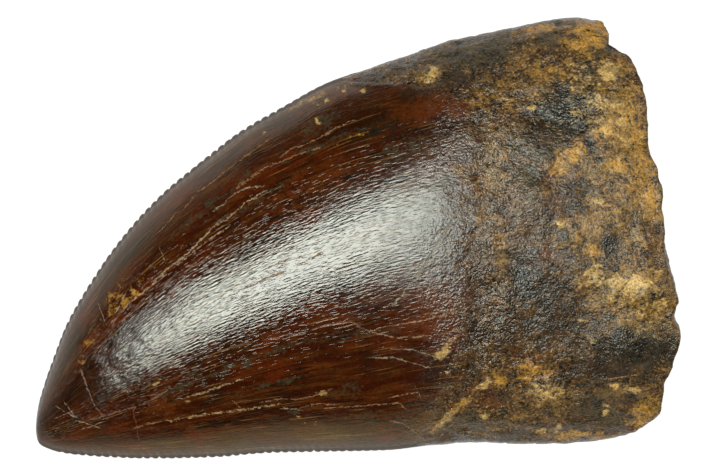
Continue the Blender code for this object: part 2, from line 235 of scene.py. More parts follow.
# Cracks and scratches of the upper side: fill, half width in pixels, and their line in pixels
CRACKS = [
    (RUSTY, 1.2, [(93, 419), (104, 416), (118, 412), (132, 408), (150, 401), (163, 394), (170, 388)]),
    (GOLD, 1.3, [(136, 428), (150, 424), (159, 422)]),
    (CREAM, 1.9, [(171, 420), (186, 418), (203, 415), (217, 413)]),
    (CREAM, 1.3, [(217, 413), (242, 410), (267, 406), (278, 404)]),
    (GOLD, 1.0, [(265, 402), (281, 399), (300, 399), (315, 396), (331, 390)]),
    (CHALK, 1.0, [(285, 408), (300, 410)]),
    (GOLD, 1.1, [(302, 407), (318, 404), (337, 404)]),
    (GOLD, 1.1, [(329, 408), (343, 407), (360, 406), (382, 404), (400, 403), (407, 409)]),
    (CREAM, 1.2, [(181, 399), (194, 395), (203, 393), (212, 390), (225, 385), (241, 380)]),
    (RUSTY, 0.9, [(82, 368), (85, 378), (90, 391), (97, 407), (104, 416)]),
    (RUSTY, 0.8, [(134, 410), (138, 426), (139, 436), (143, 454)]),
    (CREAM, 0.8, [(236, 402), (242, 408)]),
    (GOLD, 1.8, [(113, 323), (122, 313), (128, 305)]),
    (CREAM, 1.5, [(128, 305), (143, 293), (152, 286), (168, 270), (185, 257), (202, 240)]),
    (CREAM, 1.3, [(202, 240), (214, 228), (231, 217), (246, 203), (265, 192)]),
    (RUSTY, 0.8, [(122, 322), (136, 311)]),
    (CREAM, 0.8, [(118, 311), (127, 293)]),
    (CREAM, 0.8, [(100, 305), (106, 321)]),
    (CHALK, 0.8, [(162, 250), (165, 259)]),
    (GOLD, 1.0, [(175, 268), (196, 251), (212, 238), (229, 228)]),
    (GOLD, 1.1, [(162, 230), (175, 215), (185, 209), (198, 193), (212, 183), (223, 174)]),
    (GOLD, 1.1, [(223, 174), (234, 166), (247, 156), (270, 140)]),
    (GOLD, 1.8, [(240, 186), (256, 175), (269, 167), (283, 161)]),
    (GOLD, 1.2, [(283, 156), (291, 150), (305, 145), (317, 140), (327, 134), (337, 128), (353, 121)]),
    (GOLD, 1.0, [(288, 159), (303, 153), (321, 148)]),
    (CHALK, 1.1, [(217, 209), (226, 203), (234, 195), (249, 188), (262, 186)]),
    (GOLD, 1.2, [(241, 290), (259, 283), (271, 276), (284, 273)]),
    (GOLD, 1.0, [(302, 264), (321, 254)]),
    (GOLD, 0.9, [(271, 267), (289, 259)]),
    (RUSTY, 1.1, [(268, 339), (302, 333), (332, 324), (352, 322), (371, 331)]),
    (GOLD, 1.2, [(371, 331), (389, 326), (414, 322), (436, 317), (461, 310)]),
    (GOLD, 1.0, [(377, 333), (400, 338), (432, 335), (459, 331)]),
    (CHALK, 1.0, [(375, 358), (392, 357), (405, 360), (428, 367)]),
    (CHALK, 0.9, [(390, 421), (403, 423), (414, 430), (423, 439)]),
    (CHALK, 1.6, [(457, 214), (441, 240), (420, 274), (396, 303)]),
    (CHALK, 0.7, [(60, 408), (78, 418)]),
    (CHALK, 0.6, [(67, 404), (75, 415)]),
    (CHALK, 0.6, [(58, 418), (72, 412)]),
    (CHALK, 0.7, [(78, 421), (88, 423), (101, 428)]),
    (CHALK, 0.6, [(84, 429), (104, 422)]),
    (CHALK, 0.8, [(395, 349), (415, 350), (440, 357)]),
    (CREAM, 0.8, [(393, 397), (408, 394), (420, 392), (421, 397)]),
    (CREAM, 0.6, [(487, 432), (500, 428), (512, 431), (510, 420)]),
    (CREAM, 2.6, [(490, 381), (477, 390), (468, 402), (450, 415), (435, 430)]),
    (DIRT, 1.3, [(520, 262), (545, 258), (560, 268)]),
    (DIRT, 1.8, [(655, 248), (640, 262), (628, 282), (618, 298)]),
    (DIRT, 1.0, [(601, 225), (612, 231)]),
    (DIRT, 1.0, [(595, 36), (607, 38)]),
    (CREAM, 0.7, [(600, 330), (617, 325)]),
    (CREAM, 0.7, [(526, 350), (535, 366)]),
    (CREAM, 0.8, [(606, 379), (637, 375)]),
]

# How stains and cracks are laid on
CRACK_SETS = 3           # cracks that pass close to each other are kept in different sets
SET_GAP = 11.0           # pixels between cracks that is wide enough
NO_CRACK = 99.0          # distance where there is none
CRACK_REACH = (3.5, 5.0)         # pixels from its line where a crack fades out
CRACK_COVER = 0.88       # how much a crack's filling covers at most
STAIN_WARPS = ((5.0, 1.4), (2.5, 0.5))   # pixels that noise pushes stains by, and size of a push
CRACK_WARP = (0.6, 0.5)          # and the same for cracks
WARP_SEEDS = (71.0, 83.0)
STAIN_LIMIT = 0.12       # no stains or cracks past this share of the way from rim to middle
STAIN_FALL = 0.7         # how fast a stain fades outside its half length and half width

# Underside: how many stains and cracks are strewn over it
UNDER_SEED = 19
UNDER_STAINS = {
    "ochre": 14, "bone": 12, "rust": 10, "soot": 12, "ash": 12, "umber": 8, "gold": 14, "sand": 12,
    "plum": 8,
}
UNDER_ON_ROOT = 0.7      # share of the stains that lie on the root
UNDER_ROOT = [(470, 660), (40, 440), (4, 26), (5, 9)]    # x, y, half width, strength in tenths
UNDER_CROWN = [(120, 460), (150, 430), (3, 9), (2.5, 5)]
UNDER_STRETCH = 1.6      # half length of a stain for its half width
UNDER_TURN = (-50, 30)
UNDER_CRACKS = 26
UNDER_CRACK_AREA = [(110, 400), (150, 430)]
UNDER_HEADINGS = (40, 8)         # degrees, nearer the front edge and nearer the back edge
UNDER_MIDDLE = 260       # y between the two
UNDER_WANDER = (-0.25, 0.2)      # radians that a crack turns by at each step
UNDER_STEPS = (2, 6)
UNDER_CRACK_STEP = 16
UNDER_CRACK_WIDTH = (0.8, 1.7)

# Which three stains each attribute of the mesh holds
STAIN_GROUPS = {
    "warm": ("ochre", "bone", "rust"),
    "dull": ("soot", "ash", "umber"),
    "tone": ("gold", "sand", "plum"),
}
# How much of a stain covers at most, from the lowest stain to the uppermost
STAIN_COVERS = {
    "plum": 0.7, "gold": 0.8, "sand": 0.7, "umber": 0.8, "ash": 0.8, "rust": 0.7, "ochre": 0.9,
    "soot": 0.9, "bone": 0.8,
}
STAIN_THERE = (0.02, 0.2)        # amounts at which a stain starts and covers most
STAIN_REACH = (1.48, 1.98)       # the same for the amount with the noise that eats its edges

# Colours as the photograph shows them, from 0 to 255
COLOURS = {
    "red brown": (56, 20, 5), "warm streak": (84, 46, 15), "dark cloud": (34, 20, 11),
    "russet cloud": (92, 38, 10), "dark thread": (26, 20, 13), "pale thread": (150, 112, 64),
    "olive margin": (104, 80, 30), "saw edge": (50, 32, 18), "slit": (150, 118, 80),
    "root brown": (64, 48, 26), "root olive": (100, 76, 42), "root red": (86, 50, 26),
    "root dark": (44, 37, 24), "root tan": (118, 90, 50), "dark speck": (34, 27, 18),
    "pale speck": (156, 124, 78), "dark sand": (110, 76, 38), "light sand": (166, 136, 82),
    "dark dentine": (66, 46, 26), "light dentine": (122, 90, 50), "plum": (70, 52, 42),
    "gold": (148, 118, 60), "sand": (150, 124, 84), "umber": (48, 32, 17), "ash": (64, 60, 46),
    "rust": (94, 46, 14), "ochre": (182, 142, 62), "soot": (28, 28, 22), "bone": (206, 180, 118),
    "dirt fill": (18, 12, 8), "rusty fill": (112, 58, 22), "gold fill": (152, 108, 56),
    "cream fill": (182, 150, 100), "chalk fill": (150, 142, 122), "gap in fill": (52, 30, 14),
}
OWN_SHARE = (0.54, 0.43, 0.29)   # what a surface sends back of this light, to look as photographed

# Noises of the material: lump sizes in millimetres, detail and roughness. On the enamel the
# sizes are along the growth lines, across them, and between the two sides.
NOISES = {
    "streaks": ((4.0, 0.5, 2.0), 4.0, 0.65),
    "threads": ((3.0, 0.11, 1.5), 1.0, 0.5),
    "pale threads": ((4.5, 0.12, 1.5), 1.0, 0.5),
    "clouds": ((4.5, 2.6, 3.0), 2.0, 0.6),
    "wrinkles": ((0.6, 0.14, 1.0), 1.0, 0.5),
    "grooves": ((0.9, 0.13, 1.0), 1.0, 0.5),
    "lines": ((3.0, 0.16, 1.0), 2.0, 0.5),
    "mottles": ((2.4, 1.9, 2.0), 4.0, 0.65),
    "specks": ((0.26, 0.24, 0.24), 2.0, 0.6),
    "broken sand": ((0.5, 0.5, 0.5), 3.0, 0.7),
    "coarse": ((0.8, 0.6, 0.7), 3.0, 0.6),
    "fine": ((0.22, 0.2, 0.2), 2.0, 0.6),
    "patches": ((1.3, 1.1, 1.1), 2.0, 0.6),
    "lumps": ((0.45, 0.42, 0.42), 1.0, 0.5),
    "grains": ((0.16, 0.15, 0.15), 1.0, 0.6),
    "waver": ((0.5, 0.4, 0.4), 1.0, 0.5),
}

# Growth measures: along the growth lines from tip to break, across them from edge to edge, and
# from the middle plane to a side. They are about millimetres where the crown is widest.
GROWTH_LENGTH = 50.0
GROWTH_WIDTH = 24.0
GROWTH_GAP = 20.0

# Where bands of the surface start and end: off the ridge, in growth measure
# painted shade: inside this band along the ridge, the enamel's own colour is darkened under the highlight
PAINTED_SHADE_RIDGE = (1.5, 4.0)
WRINKLED_RIDGE = (2.2, 5.5)
MARGIN = (9.9, 11.4)

# And past the enamel's end, in millimetres
RUBBED = (-12, -1)       # the enamel gets a little duller
WORN = (-3.8, 0.2)       # and then much duller
GRANULAR = (-5, 0.5)     # its wrinkles give way to grains
ROOT_START = (-0.8, 0.7)
BREAK_PAST_ENAMEL = 9.0
ROOT_DULLING = (0, BREAK_PAST_ENAMEL)
RIM = (0.04, 0.09)       # but this one as a share of the way from the rim of the break inwards

# Gloss, and heights of the bumps in millimetres
ENAMEL_IOR = 1.5
ROOT_IOR = 1.4
GLOSS_TINT = (1.0, 0.92, 0.68, 1.0)      # yellowed by age and sand
WORN_ROUGHNESS = 0.35
CRACK_ROUGHNESS = 0.6
SAW_ROUGHNESS = 0.6
WRINKLE_BUMP = 0.025
GROOVE_BUMP = 0.004
LINE_BUMP = 0.008
GRAIN_BUMP = 0.078
LUMP_BUMP = 0.1
BONE_BUMP = 0.06
CRACK_DEPTH = 0.01

# Layout of the texture: the upper side lies over the lower side, the break along the bottom
UPPER_STRIP = 0.56
LOWER_STRIP = 0.12
STRIP_HEIGHT = 0.43
BREAK_STRIP = 0.1
TEXTURE_RIM = 0.008

# Studio, in metres, watts and degrees
FLOOR_SIZE = 4.0
FLOOR_COLOUR = (0.06, 0.06, 0.06)
FLOOR_ROUGHNESS = 0.9
SOFTBOX_TINT = (0.728, 0.837, 1.0)
ROOM_TINT = (1.0, 0.97, 0.82)
FLOOR_TINT = (1.0, 1.0, 0.97)
SOFTBOX_PLACE = (-0.091, 0.010, 0.40)
SOFTBOX_SIZE = (0.34, 0.15)
SOFTBOX_TURN = 31.0
SOFTBOX_POWER = 4.19
FILL_PLACE = (0.35, 0.06, 0.16)
FILL_SIZE = 0.2
FILL_POWER = 0.8
HORIZON_LIGHT = 0.9
ZENITH_LIGHT = 0.015
HORIZON_HEIGHT = (0.1, 0.38)
HORIZON_LEAN = 0.75      # how far the bright side leans from the tip towards the back edge
HORIZON_BRIGHTENS = (-0.5, 0.7)
DARK_SIDE = 0.1          # of the horizon's light, on the side away from the tip
FLOOR_GLOW = 0.97


def smooth_curve(points):
    """Close samples of a smooth curve through the points (Catmull-Rom)."""
    known = np.array([points[0]] + points + [points[-1]], float)
    t = np.linspace(0, 1, SAMPLES_PER_SPAN, endpoint=False)[:, None]
    spans = []
    for a, b, c, d in zip(known, known[1:], known[2:], known[3:]):
        square = 2 * a - 5 * b + 4 * c - d
        cube = 3 * b - a - 3 * c + d
        spans.append(b + 0.5 * ((c - a) * t + square * t**2 + cube * t**3))
    return np.vstack(spans + [known[-1:]])


def read_curve(points, value):
    """The smooth curve's second number at its first."""
    samples = smooth_curve(points)
    return np.interp(value, samples[:, 0], samples[:, 1])


def read_line(points, y):
    """A line's x at its y. The line runs from front to back."""
    return np.interp(-y, [-point[1] for point in points], [point[0] for point in points])


def points_along(points, shares):
    """Places on an edge at shares of its length from the tip."""
    samples = smooth_curve(points)
    steps = np.linalg.norm(np.diff(samples, axis=0), axis=1)
    walked = np.concatenate([[0], np.cumsum(steps)]) / steps.sum()
    return np.stack([np.interp(shares, walked, samples[:, axis]) for axis in (0, 1)], axis=-1)


def ease(value, start, end):
    """0 before start, 1 after end, and a smooth way between."""
    t = np.clip((np.asarray(value, float) - start) / (end - start), 0, 1)
    return t * t * (3 - 2 * t)


def grain(points, size, seed=0.0, octaves=1):
    """Smooth noise from about -1 to 1 at each point, with lumps of about the size given."""
    flat = np.asarray(points, float).reshape(-1, 3) / size + seed
    if octaves == 1:
        values = [noise.noise(Vector(point)) for point in flat]
    else:
        values = [noise.fractal(Vector(point), 1.0, 2.0, octaves) for point in flat]
    return np.array(values).reshape(np.shape(points)[:-1])


def relief(points, name):
    """One of the layers of relief at each point, in millimetres."""
    height, size, seed, octaves = RELIEFS[name]
    return height * grain(points, size, seed, octaves)


def broken_x(y, up):
    """Where the root breaks off. Below the middle, chips take the break back unevenly."""
    places = np.stack([y * CHIPS_PER_MM, *(np.full_like(y, seed) for seed in CHIP_SEED)], axis=-1)
    chip = UNDER_CHIPS * np.abs(grain(places, 1.0) + CHIP_SHARE)
    return read_line(BREAK_EDGE, y) - chip * ease(-up, 0, 0.5)


def across_shares():
    """Shares of the way from front to back edge, and the side (up or down), round a ring."""
    half = COLUMNS // 2
    k = np.arange(COLUMNS)
    turn = np.where(k <= half, k, COLUMNS - k) / half
    plain = 0.5 * (1 - np.cos(turn * math.pi)) / 2 + 0.5 * turn
    side = np.where((k > 0) & (k < half), 1, np.where(k > half, -1, 0))
    return plain, side


def slits(shares, count, limits):
    """Depth of the slit between two denticles, from 0 to 1, at shares of an edge's length."""
    start, full, wearing, gone = limits
    there = ease(shares, start, full) * (1 - ease(shares, wearing, gone))
    phase = np.abs((shares * count) % 1.0 - 0.5) * 2
    places = [shares * count / DENTICLES_ALIKE, np.full_like(shares, count), np.zeros_like(shares)]
    wear = MEAN_DEPTH + DEPTH_VARIES * grain(np.stack(places, axis=-1), 1.0)
    return there * np.clip(wear, LEAST_DEPTH, 1) * phase**SLIT_SHARPNESS


class Tooth:
    """Grids of the tooth's body, rows by columns, with what the layers need to know."""

    def __init__(self):
        rows = FRONT_COUNT * ROWS_PER_DENTICLE
        self.shares = np.arange(1, rows + 1) / rows
        self.plain, self.side = across_shares()
        self.points = self.section_points()
        self.slit = self.saw_slits()
        self.points = self.points + self.saw_moves() + self.relief_moves()

    def section_points(self):
        shares = self.shares[:, None]
        bend = (RIDGE - 0.5) * 4 * self.plain * (1 - self.plain)
        across = (self.plain + bend)[None, :]
        start = points_along(FRONT_EDGE, self.shares)[:, None, :]
        end = points_along(BACK_EDGE, self.shares)[:, None, :]
        self.width = np.linalg.norm(end - start, axis=2)
        self.inward = (end - start) / self.width[:, :, None]
        flat = start + (end - start) * across[:, :, None]
        x, y = flat[:, :, 0], flat[:, :, 1]
        bulge = (4 * self.plain * (1 - self.plain))[None, :]
        up = self.side[None, :] * np.sqrt(bulge)
        lost = ROLL_OFF + FRONT_ROLL_OFF * ease(y, *FRONT_ROLL)
        left = 1 - lost * ease(shares, ROLLED_SHARE, 1) ** 2
        height = read_curve(HALF_THICKNESS, shares) * left
        z = height * bulge ** read_curve(PINCH, shares) * self.side[None, :]
        stump = np.clip((shares - STUMP_SHARE) / (1 - STUMP_SHARE), 0, 1)
        ends = [tuple(start[-1, 0]), tuple(end[-1, 0])]
        lean = broken_x(y, np.broadcast_to(up, y.shape)) - read_line(ends, y)
        x = x + lean * stump**STUMP_POWER
        self.from_front = across * self.width
        self.from_back = (1 - across) * self.width
        return np.stack([x, y, z], axis=-1)

    def saw_slits(self):
        front = slits(self.shares, FRONT_COUNT, FRONT_DENTICLES)[:, None]
        back = slits(self.shares, BACK_COUNT, BACK_DENTICLES)[:, None]
        near_front = np.exp(-((self.from_front / DENTICLE_REACH) ** 2))
        near_back = np.exp(-((self.from_back / DENTICLE_REACH) ** 2))
        self.keen = near_front + near_back
        return front * near_front + back * near_back

    def saw_moves(self):
        """Cuts the slits into the edges, and lets them run out on the flanks."""
        towards = np.where(self.from_front < self.from_back, 1.0, -1.0)
        moves = np.zeros(self.points.shape)
        moves[:, :, :2] = self.inward * (self.slit * DENTICLE_DEPTH * towards)[:, :, None]
        return moves

    def normals(self):
        down_rows = np.gradient(self.points, axis=0)
        ring = np.concatenate([self.points[:, -1:], self.points, self.points[:, :1]], axis=1)
        round_ring = ring[:, 2:] - ring[:, :-2]
        outward = np.cross(down_rows, round_ring)
        outward *= np.sign(outward[len(outward) // 2, COLUMNS // 4, 2])
        return outward / np.maximum(np.linalg.norm(outward, axis=2, keepdims=True), 1e-9)

    def relief_moves(self):
        x, y, z = np.moveaxis(self.points, 2, 0)
        self.past_enamel = x - read_line(ENAMEL_END, y) + relief(self.points, "ledge line")
        on_root = ease(self.past_enamel, *ENAMEL_FADE)
        height = -ENAMEL_STEP * on_root
        for lump_x, lump_y, radius, lump in ROOT_LUMPS:
            far = ((x - lump_x) ** 2 + (y - lump_y) ** 2) / radius**2
            height = height + np.where(z > 0, lump, lump * LUMP_BELOW) * np.clip(1 - far, 0, 1) ** 1.5
        below = np.where(z[:, :, None] > 0, 0.0, UNDER_SHIFT) * np.array([0.0, 0.0, 1.0])
        sided = self.points + below
        height = height + on_root * (relief(sided, "root lumps") + relief(sided, "root knobs"))
        height = height + (1 - on_root) * relief(sided, "enamel ripples")
        all_round = relief(self.points, "root waves") + relief(self.points, "root grit")
        all_round = all_round - PIT_DEPTH * ease(relief(self.points, "pits"), 0.4, 0.7)
        height = height * ease(np.abs(z), 0, EDGE_RIM) + on_root * all_round
        crumbled = relief(self.points, "rim crumbs") + relief(self.points, "rim grit")
        crumbled = crumbled * ease(self.shares, CRUMBLED_SHARE, 1)[:, None]
        moves = self.normals() * (height + crumbled)[:, :, None]
        moves[:, :, 0] += crumbled
        return moves


def cap_rings(tooth):
    """Rings of the broken face, from inside its rim to its middle, and the middle itself."""
    rim = tooth.points[-1]
    middle = rim.mean(axis=0)
    up = tooth.side * np.sqrt(4 * tooth.plain * (1 - tooth.plain))
    rings = []
    for ring in range(1, CAP_RINGS):
        inward = ring / CAP_RINGS
        place = rim + (middle - rim) * inward
        rings.append(broken_face(place, up * (1 - inward), rim, inward))
    last = broken_face(middle[None, :], np.zeros(1), middle[None, :], 1.0)
    return np.array(rings), last[0]


def broken_face(place, up, rim, inward):
    """The places moved to the broken face, which starts at the rim and is hollow in its middle."""
    place = place.copy()
    flat = place * np.array([0.0, 1.0, 1.0])
    face_x = broken_x(place[:, 1], up) - HOLLOW_DEPTH * ease(inward, *HOLLOW_WALL)
    face_x = face_x + relief(flat, "break lumps") + relief(flat, "break grit")
    face_x = np.minimum(face_x, rim[:, 0] + FACE_RISE * inward)
    settle = ease(inward, 0, HOLLOW_WALL[0])
    place[:, 0] = rim[:, 0] * (1 - settle) + face_x * settle
    return place


class Skin:
    """The whole mesh point by point: tip, body rings, rings of the break, middle of the break."""

    def __init__(self, tooth):
        cap, middle = cap_rings(tooth)
        tip = np.array([*FRONT_EDGE[0], 0.0])
        self.rings = len(tooth.points) + len(cap)
        rows = len(tooth.points)
        grids = [tooth.points.reshape(-1, 3), cap.reshape(-1, 3)]
        self.points = np.concatenate([[tip], *grids, [middle]])
        self.slit = self.whole(tooth.slit, 0.0)
        self.keen = self.whole(tooth.keen, 0.0)
        self.past_enamel = self.whole(tooth.past_enamel, BREAK_PAST_ENAMEL)
        inward = np.arange(1, CAP_RINGS)[:, None] / CAP_RINGS * np.ones(COLUMNS)
        self.on_break = np.concatenate([[0], np.zeros(rows * COLUMNS), inward.ravel(), [1]])
        along, across = np.meshgrid(tooth.shares, tooth.plain, indexing="ij")
        self.along = self.whole(GROWTH_LENGTH * along, GROWTH_LENGTH)
        self.across = self.whole(GROWTH_WIDTH * across, 0.0)
        self.side = np.where(self.points[:, 2] >= 0, 1.0, -1.0)

    def whole(self, body, at_break):
        """Values of the body's grid, with one value for all of the break, and the tip's first."""
        breaks = np.full((CAP_RINGS - 1) * COLUMNS + 1, at_break)
        return np.concatenate([body[:1, 0], body.ravel(), breaks])

    def seen(self):
        """Pixels at which the camera sees the points of the upper side."""
        distance = PHOTO_WIDTH / PIXELS_PER_MM * LENS / SENSOR
        centre = np.array([PHOTO_WIDTH / 2, PHOTO_HEIGHT / 2])
        flat = np.array(OUTLINE_MIDDLE) + self.points[:, :2] * PIXELS_PER_MM * np.array([1, -1])
        return centre + (flat - centre) * (distance / (distance - self.points[:, 2]))[:, None]


def warped(places, points, amount, size):
    """The places, pushed about by noise so that shapes laid over them are irregular."""
    push = [grain(points, size, seed) for seed in WARP_SEEDS]
    return places + amount * np.stack(push, axis=-1)


def stain_amount(places, stains):
    """How strongly any of the stains covers each place."""
    amount = np.zeros(len(places))
    for x, y, half_length, half_width, tenths, *turned in stains:
        right, down = places[:, 0] - x, places[:, 1] - y
        turn = math.radians(turned[0] if turned else 0)
        cos, sin = math.cos(turn), math.sin(turn)
        along = (right * cos - down * sin) / half_length
        across = (right * sin + down * cos) / half_width
        far = (along**2 + across**2) * STAIN_FALL
        amount = np.maximum(amount, tenths / 10 * np.exp(-far))
    return amount


def line_distance(places, line):
    """Distance to a line of straight pieces, and the side of it that each place is on."""
    best = np.full(len(places), 1e9)
    sign = np.ones(len(places))
    for start, end in zip(line, line[1:]):
        start, end = np.array(start, float), np.array(end, float)
        step = end - start
        t = np.clip((places - start) @ step / (step @ step), 0, 1)
        off = places - start - t[:, None] * step
        far = np.hypot(off[:, 0], off[:, 1])
        turned = step[0] * off[:, 1] - step[1] * off[:, 0]
        closer = far < best
        best = np.where(closer, far, best)
        sign = np.where(closer, np.where(turned < 0, -1.0, 1.0), sign)
    return best, sign


def crack_sets(cracks):
    """Shares the cracks out, so that those of one set keep apart where that is possible."""
    sets = [[] for k in range(CRACK_SETS)]
    for crack in cracks:
        line = np.array(crack[2], float)
        spaces = []
        for others in sets:
            gaps = [line_distance(line, other[2])[0].min() for other in others]
            gaps += [line_distance(np.array(other[2], float), crack[2])[0].min() for other in others]
            spaces.append(min(gaps + [SET_GAP]))
        sets[spaces.index(max(spaces))].append(crack)
    return sets


def crack_layer(places, cracks):
    """Of the nearest crack: distance in half widths with its side, distance, and fill."""
    best = np.full(len(places), 1e9)
    layer = np.full((len(places), 3), NO_CRACK)
    for fill, half_width, line in cracks:
        far, sign = line_distance(places, line)
        closer = far < best
        best = np.where(closer, far, best)
        rows = np.stack([sign * far / half_width, far, np.full(len(places), fill)], axis=-1)
        layer = np.where(closer[:, None], rows, layer)
    return layer


def under_stains(count, chance):
    """Stains strewn over the root and the crown of the underside."""
    stains = []
    for k in range(count):
        ranges = UNDER_ROOT if chance.random() < UNDER_ON_ROOT else UNDER_CROWN
        x, y, size, tenths = (chance.uniform(*limits) for limits in ranges)
        turn = chance.uniform(*UNDER_TURN)
        stains.append((x, y, size * UNDER_STRETCH, size, tenths, turn))
    return stains


def under_cracks(chance):
    """Cracks that wander along the underside of the crown, from the tip towards the root."""
    cracks = []
    for k in range(UNDER_CRACKS):
        x, y = (chance.uniform(*limits) for limits in UNDER_CRACK_AREA)
        heading = math.radians(UNDER_HEADINGS[0] if y < UNDER_MIDDLE else UNDER_HEADINGS[1])
        line = [(x, y)]
        for step in range(chance.randint(*UNDER_STEPS)):
            heading += chance.uniform(*UNDER_WANDER)
            x += UNDER_CRACK_STEP * math.cos(heading)
            y -= UNDER_CRACK_STEP * math.sin(heading)
            line.append((x, y))
        fill = chance.choice([RUSTY, GOLD, GOLD, CREAM, CHALK])
        cracks.append((fill, chance.uniform(*UNDER_CRACK_WIDTH), line))
    return cracks


def add_attribute(mesh, name, columns):
    """One number or three for each vertex, for the material to read."""
    kind, field = ("FLOAT", "value") if len(columns) == 1 else ("FLOAT_VECTOR", "vector")
    layer = mesh.attributes.new(name, kind, "POINT")
    values = np.stack(columns, axis=-1).astype(np.float32)
    layer.data.foreach_set(field, values.ravel())


def add_layers(mesh, skin):
    """Gives the mesh all that the material reads."""
    chance = random.Random(UNDER_SEED)
    seen = skin.seen()
    places = seen
    for amount, size in STAIN_WARPS:
        places = warped(places, skin.points, amount, size)
    upper = (skin.side > 0) & (skin.on_break < STAIN_LIMIT)
    lower = (skin.side < 0) & (skin.on_break < STAIN_LIMIT)
    amounts = {}
    for name, stains in STAINS.items():
        above = stain_amount(places, stains)
        below = stain_amount(places, under_stains(UNDER_STAINS[name], chance))
        amounts[name] = above * upper + below * lower
    for group, names in STAIN_GROUPS.items():
        add_attribute(mesh, group, [amounts[name] for name in names])
    add_attribute(mesh, "growth", [skin.along, skin.across, GROWTH_GAP * skin.side])
    add_attribute(mesh, "past_enamel", [skin.past_enamel])
    add_attribute(mesh, "place", list(skin.points.T))
    add_attribute(mesh, "edge", [skin.keen, skin.slit, skin.on_break])
    nudged = warped(seen, skin.points, *CRACK_WARP)
    below_sets = crack_sets(under_cracks(chance))
    for k, cracks in enumerate(crack_sets(CRACKS)):
        above = crack_layer(nudged, cracks)
        below = crack_layer(nudged, below_sets[k])
        layer = np.where(upper[:, None], above, np.where(lower[:, None], below, NO_CRACK))
        add_attribute(mesh, f"cracks_{k}", list(layer.T))


def grid_faces(first_row, rows):
    """Quads between neighbouring rings that follow on in the list of points."""
    faces = []
    for row in range(rows - 1):
        start = first_row + row * COLUMNS
        for k in range(COLUMNS):
            after = (k + 1) % COLUMNS
            faces.append((start + k, start + after, start + COLUMNS + after, start + COLUMNS + k))
    return faces


def fan_faces(pole, first, outward):
    """Triangles from a pole to the ring that starts at first."""
    faces = []
    for k in range(COLUMNS):
        after = (k + 1) % COLUMNS
        pair = (first + after, first + k) if outward else (first + k, first + after)
        faces.append((pole, *pair))
    return faces


def body_place(row, column, below):
    """Place on the texture of a point of the body."""
    half = COLUMNS // 2
    u = TEXTURE_RIM + (1 - 2 * TEXTURE_RIM) * row / (FRONT_COUNT * ROWS_PER_DENTICLE)
    start = LOWER_STRIP if below else UPPER_STRIP
    return u, start + STRIP_HEIGHT * (column - half * below) / half


def break_place(ring, column):
    """Place on the texture of a point of the broken end."""
    u = TEXTURE_RIM + (1 - 2 * TEXTURE_RIM) * column / COLUMNS
    return u, BREAK_STRIP - (BREAK_STRIP - TEXTURE_RIM) * ring / CAP_RINGS


def texture_places(rings):
    """Places on the texture for the corners of all faces, in the order of the faces."""
    body = FRONT_COUNT * ROWS_PER_DENTICLE
    places = []
    for k in range(COLUMNS):
        corners = [(0, k + 0.5), (1, k + 1), (1, k)]
        places += [body_place(row, column, k >= COLUMNS // 2) for row, column in corners]
    for row in range(1, rings):
        for k in range(COLUMNS):
            corners = [(row, k), (row, k + 1), (row + 1, k + 1), (row + 1, k)]
            if row < body:
                places += [body_place(*corner, k >= COLUMNS // 2) for corner in corners]
            else:
                places += [break_place(ring - body, column) for ring, column in corners]
    for k in range(COLUMNS):
        corners = [(CAP_RINGS, k + 0.5), (rings - body, k), (rings - body, k + 1)]
        places += [break_place(*corner) for corner in corners]
    return places


def tooth_mesh(skin):
    points = skin.points.copy()
    points[:, :2] -= (points[:, :2].min(axis=0) + points[:, :2].max(axis=0)) / 2
    points[:, 2] = np.maximum(points[:, 2] + REST_HEIGHT, 0)
    faces = fan_faces(0, 1, True) + grid_faces(1, skin.rings)
    faces += fan_faces(len(points) - 1, 1 + (skin.rings - 1) * COLUMNS, False)
    mesh = bpy.data.meshes.new("fossil_tooth")
    mesh.from_pydata((points * MM).tolist(), [], faces)
    texture = mesh.uv_layers.new(name="OFBake")
    texture.data.foreach_set("uv", np.array(texture_places(skin.rings), np.float32).ravel())
    mesh.shade_smooth()
    return mesh


def seen_colour(name):
    """The surface's own colour where the photograph shows the one named."""
    shares = [value / 255 for value in COLOURS[name]]
    linear = [s / 12.92 if s <= 0.04045 else ((s + 0.055) / 1.055) ** 2.4 for s in shares]
    return (*(own * value for own, value in zip(OWN_SHARE, linear)), 1.0)


